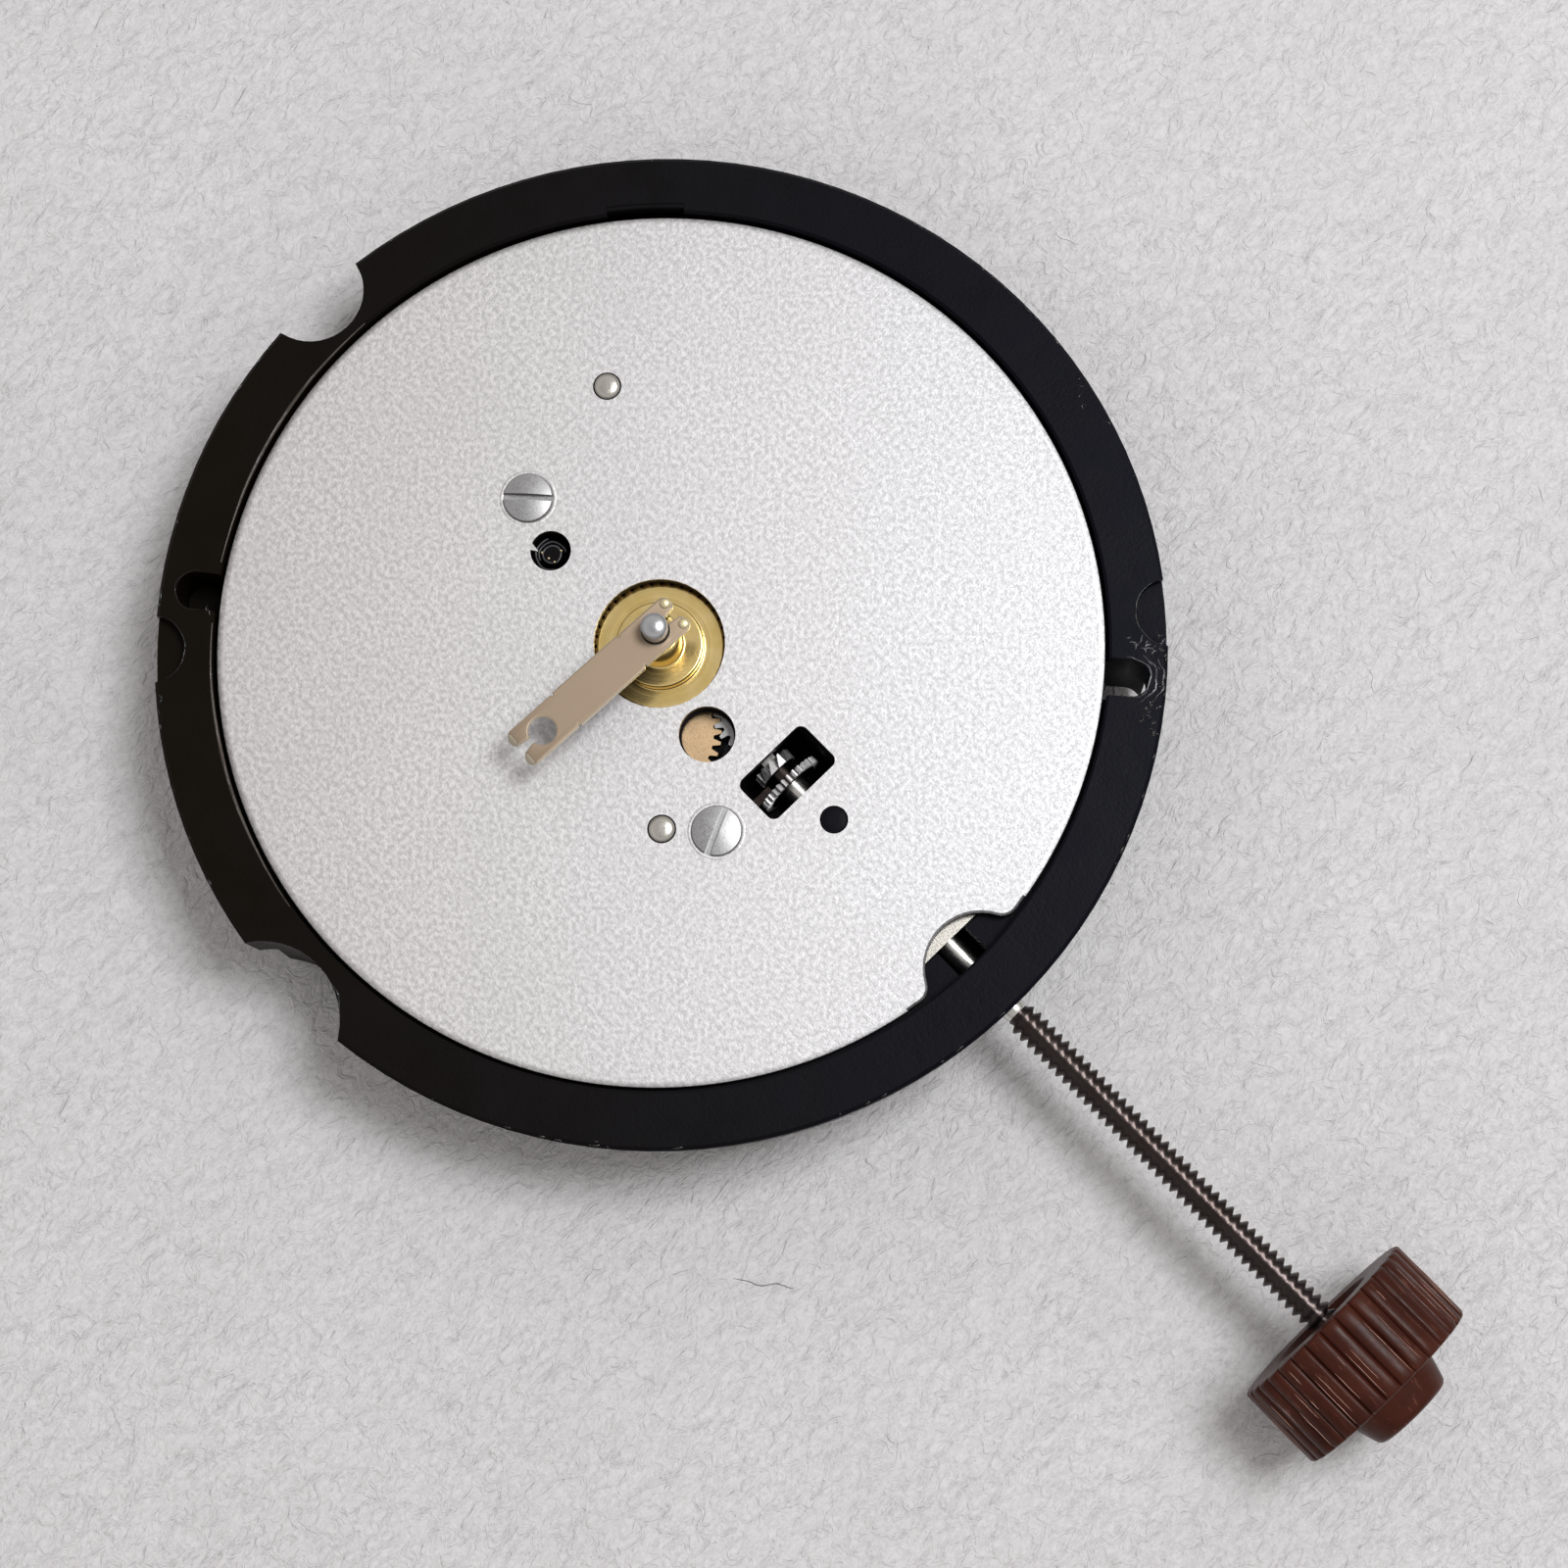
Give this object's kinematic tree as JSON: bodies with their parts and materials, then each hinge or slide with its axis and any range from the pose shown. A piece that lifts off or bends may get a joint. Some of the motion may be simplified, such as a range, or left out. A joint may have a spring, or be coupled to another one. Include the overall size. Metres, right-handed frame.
{
  "type": "quartz watch movement",
  "caption": "Quartz watch movement for hour and minute hands, with a casing flange, a threaded setting stem and a fluted crown.",
  "frame": {"origin": "on the hand axis, in the plane of the dial plate's outer face", "axes": "+X along the setting stem towards the crown, +Z out of the dial side along the hand axis, +Y towards twelve o'clock"},
  "size_m": [0.0409, 0.0265, 0.0064],
  "materials": {
    "black_plastic": "satin black moulding",
    "silver_plate": "fine matte blasted",
    "nickel": "polished nickel",
    "steel": "polished steel",
    "dark_steel": "dark cut thread",
    "brass": "turned brass",
    "rose_gold": "fine-ground rose gold",
    "clip_metal": "rolled nickel silver",
    "crown_brown": "satin brown plastic",
    "copper_wire": "enamelled copper",
    "green_board": "solder mask",
    "magnet": "sintered",
    "soft_iron": "annealed nickel iron",
    "cream_plastic": "moulded"
  },
  "bodies": {
    "movement": {"main_plate": "black_plastic", "dial_plate": "silver_plate", "dial_plate_screws": "steel", "locating_pins": "nickel", "stator": "soft_iron", "coil_core": "soft_iron", "coil_bobbin": "cream_plastic", "coil_winding": "copper_wire", "coil_screws": "steel", "train_bridge": "steel", "bridge_screws": "steel", "circuit_board": "green_board", "ic_chip": "black_plastic", "quartz_crystal": "nickel", "battery": "nickel", "negative_contact": "nickel", "positive_contact": "nickel", "battery_clamp": "steel", "circuit_cover": "silver_plate", "cover_screws": "steel", "lever_cover": "nickel"},
    "minute_body": {"cannon_pinion": "steel", "centre_wheel": "brass"},
    "hour_body": {"hour_wheel": "brass"},
    "minute_wheel_body": {"minute_wheel": "rose_gold", "minute_pinion": "steel"},
    "setting_wheel_body": {"setting_wheel": "steel"},
    "third_body": {"third_wheel": "brass", "third_pinion": "steel"},
    "intermediate_body": {"intermediate_wheel": "brass", "intermediate_pinion": "steel"},
    "rotor_body": {"rotor_magnet": "magnet", "rotor_pinion": "steel"},
    "yoke_body": {"yoke": "steel"},
    "pinion_body": {"sliding_pinion": "steel"},
    "stem_body": {"setting_stem": "dark_steel", "crown": "crown_brown"},
    "lever_body": {"setting_lever": "steel"},
    "clip_body": {"keeper_clip": "clip_metal"}
  },
  "joints": [
    {"name": "minute_turn", "type": "hinge", "parent": "movement", "child": "minute_body", "pos_m": [0, 0, 0], "axis": [0, 0, 1], "continuous": true},
    {"name": "hour_turn", "type": "hinge", "parent": "movement", "child": "hour_body", "pos_m": [0, 0, 0], "axis": [0, 0, 1], "continuous": true},
    {"name": "minute_wheel_turn", "type": "hinge", "parent": "movement", "child": "minute_wheel_body", "pos_m": [0.00149, -0.00169, 0], "axis": [0, 0, 1], "continuous": true},
    {"name": "setting_wheel_turn", "type": "hinge", "parent": "movement", "child": "setting_wheel_body", "pos_m": [0.0029, 0.0003, 0], "axis": [0, 0, 1], "continuous": true},
    {"name": "third_turn", "type": "hinge", "parent": "movement", "child": "third_body", "pos_m": [-0.00043, 0.00246, 0], "axis": [0, 0, 1], "continuous": true},
    {"name": "intermediate_turn", "type": "hinge", "parent": "movement", "child": "intermediate_body", "pos_m": [0.00153, 0.00384, 0], "axis": [0, 0, 1], "continuous": true},
    {"name": "rotor_turn", "type": "hinge", "parent": "movement", "child": "rotor_body", "pos_m": [0.00288, 0.00545, 0], "axis": [0, 0, 1], "continuous": true},
    {"name": "yoke_shift", "type": "slide", "parent": "movement", "child": "yoke_body", "axis": [-1, 0, 0], "range_m": [0, 0.0003]},
    {"name": "crown_turn", "type": "hinge", "parent": "yoke_body", "child": "pinion_body", "pos_m": [0, 0, -0.0015], "axis": [1, 0, 0], "continuous": true},
    {"name": "stem_pull", "type": "slide", "parent": "pinion_body", "child": "stem_body", "axis": [1, 0, 0], "range_m": [0, 0.0012]},
    {"name": "setting_lever_swing", "type": "hinge", "parent": "movement", "child": "lever_body", "pos_m": [0.00875, 0.0026, 0], "axis": [0, 0, 1], "range_deg": [0, 19.64]},
    {"name": "keeper_clip_lift", "type": "slide", "parent": "minute_body", "child": "clip_body", "axis": [0, 0, 1], "range_m": [0, 0.003]}
  ],
  "couplings": [
    {"joint": "hour_turn", "follows": "minute_turn", "ratio": 0.083333},
    {"joint": "minute_wheel_turn", "follows": "minute_turn", "ratio": -0.33333},
    {"joint": "setting_wheel_turn", "follows": "minute_turn", "ratio": 0.75},
    {"joint": "third_turn", "follows": "minute_turn", "ratio": -3},
    {"joint": "intermediate_turn", "follows": "minute_turn", "ratio": 15},
    {"joint": "rotor_turn", "follows": "minute_turn", "ratio": -90},
    {"joint": "yoke_shift", "follows": "stem_pull", "ratio": 0.25},
    {"joint": "setting_lever_swing", "follows": "stem_pull", "rad_per_m": 285.63}
  ]
}
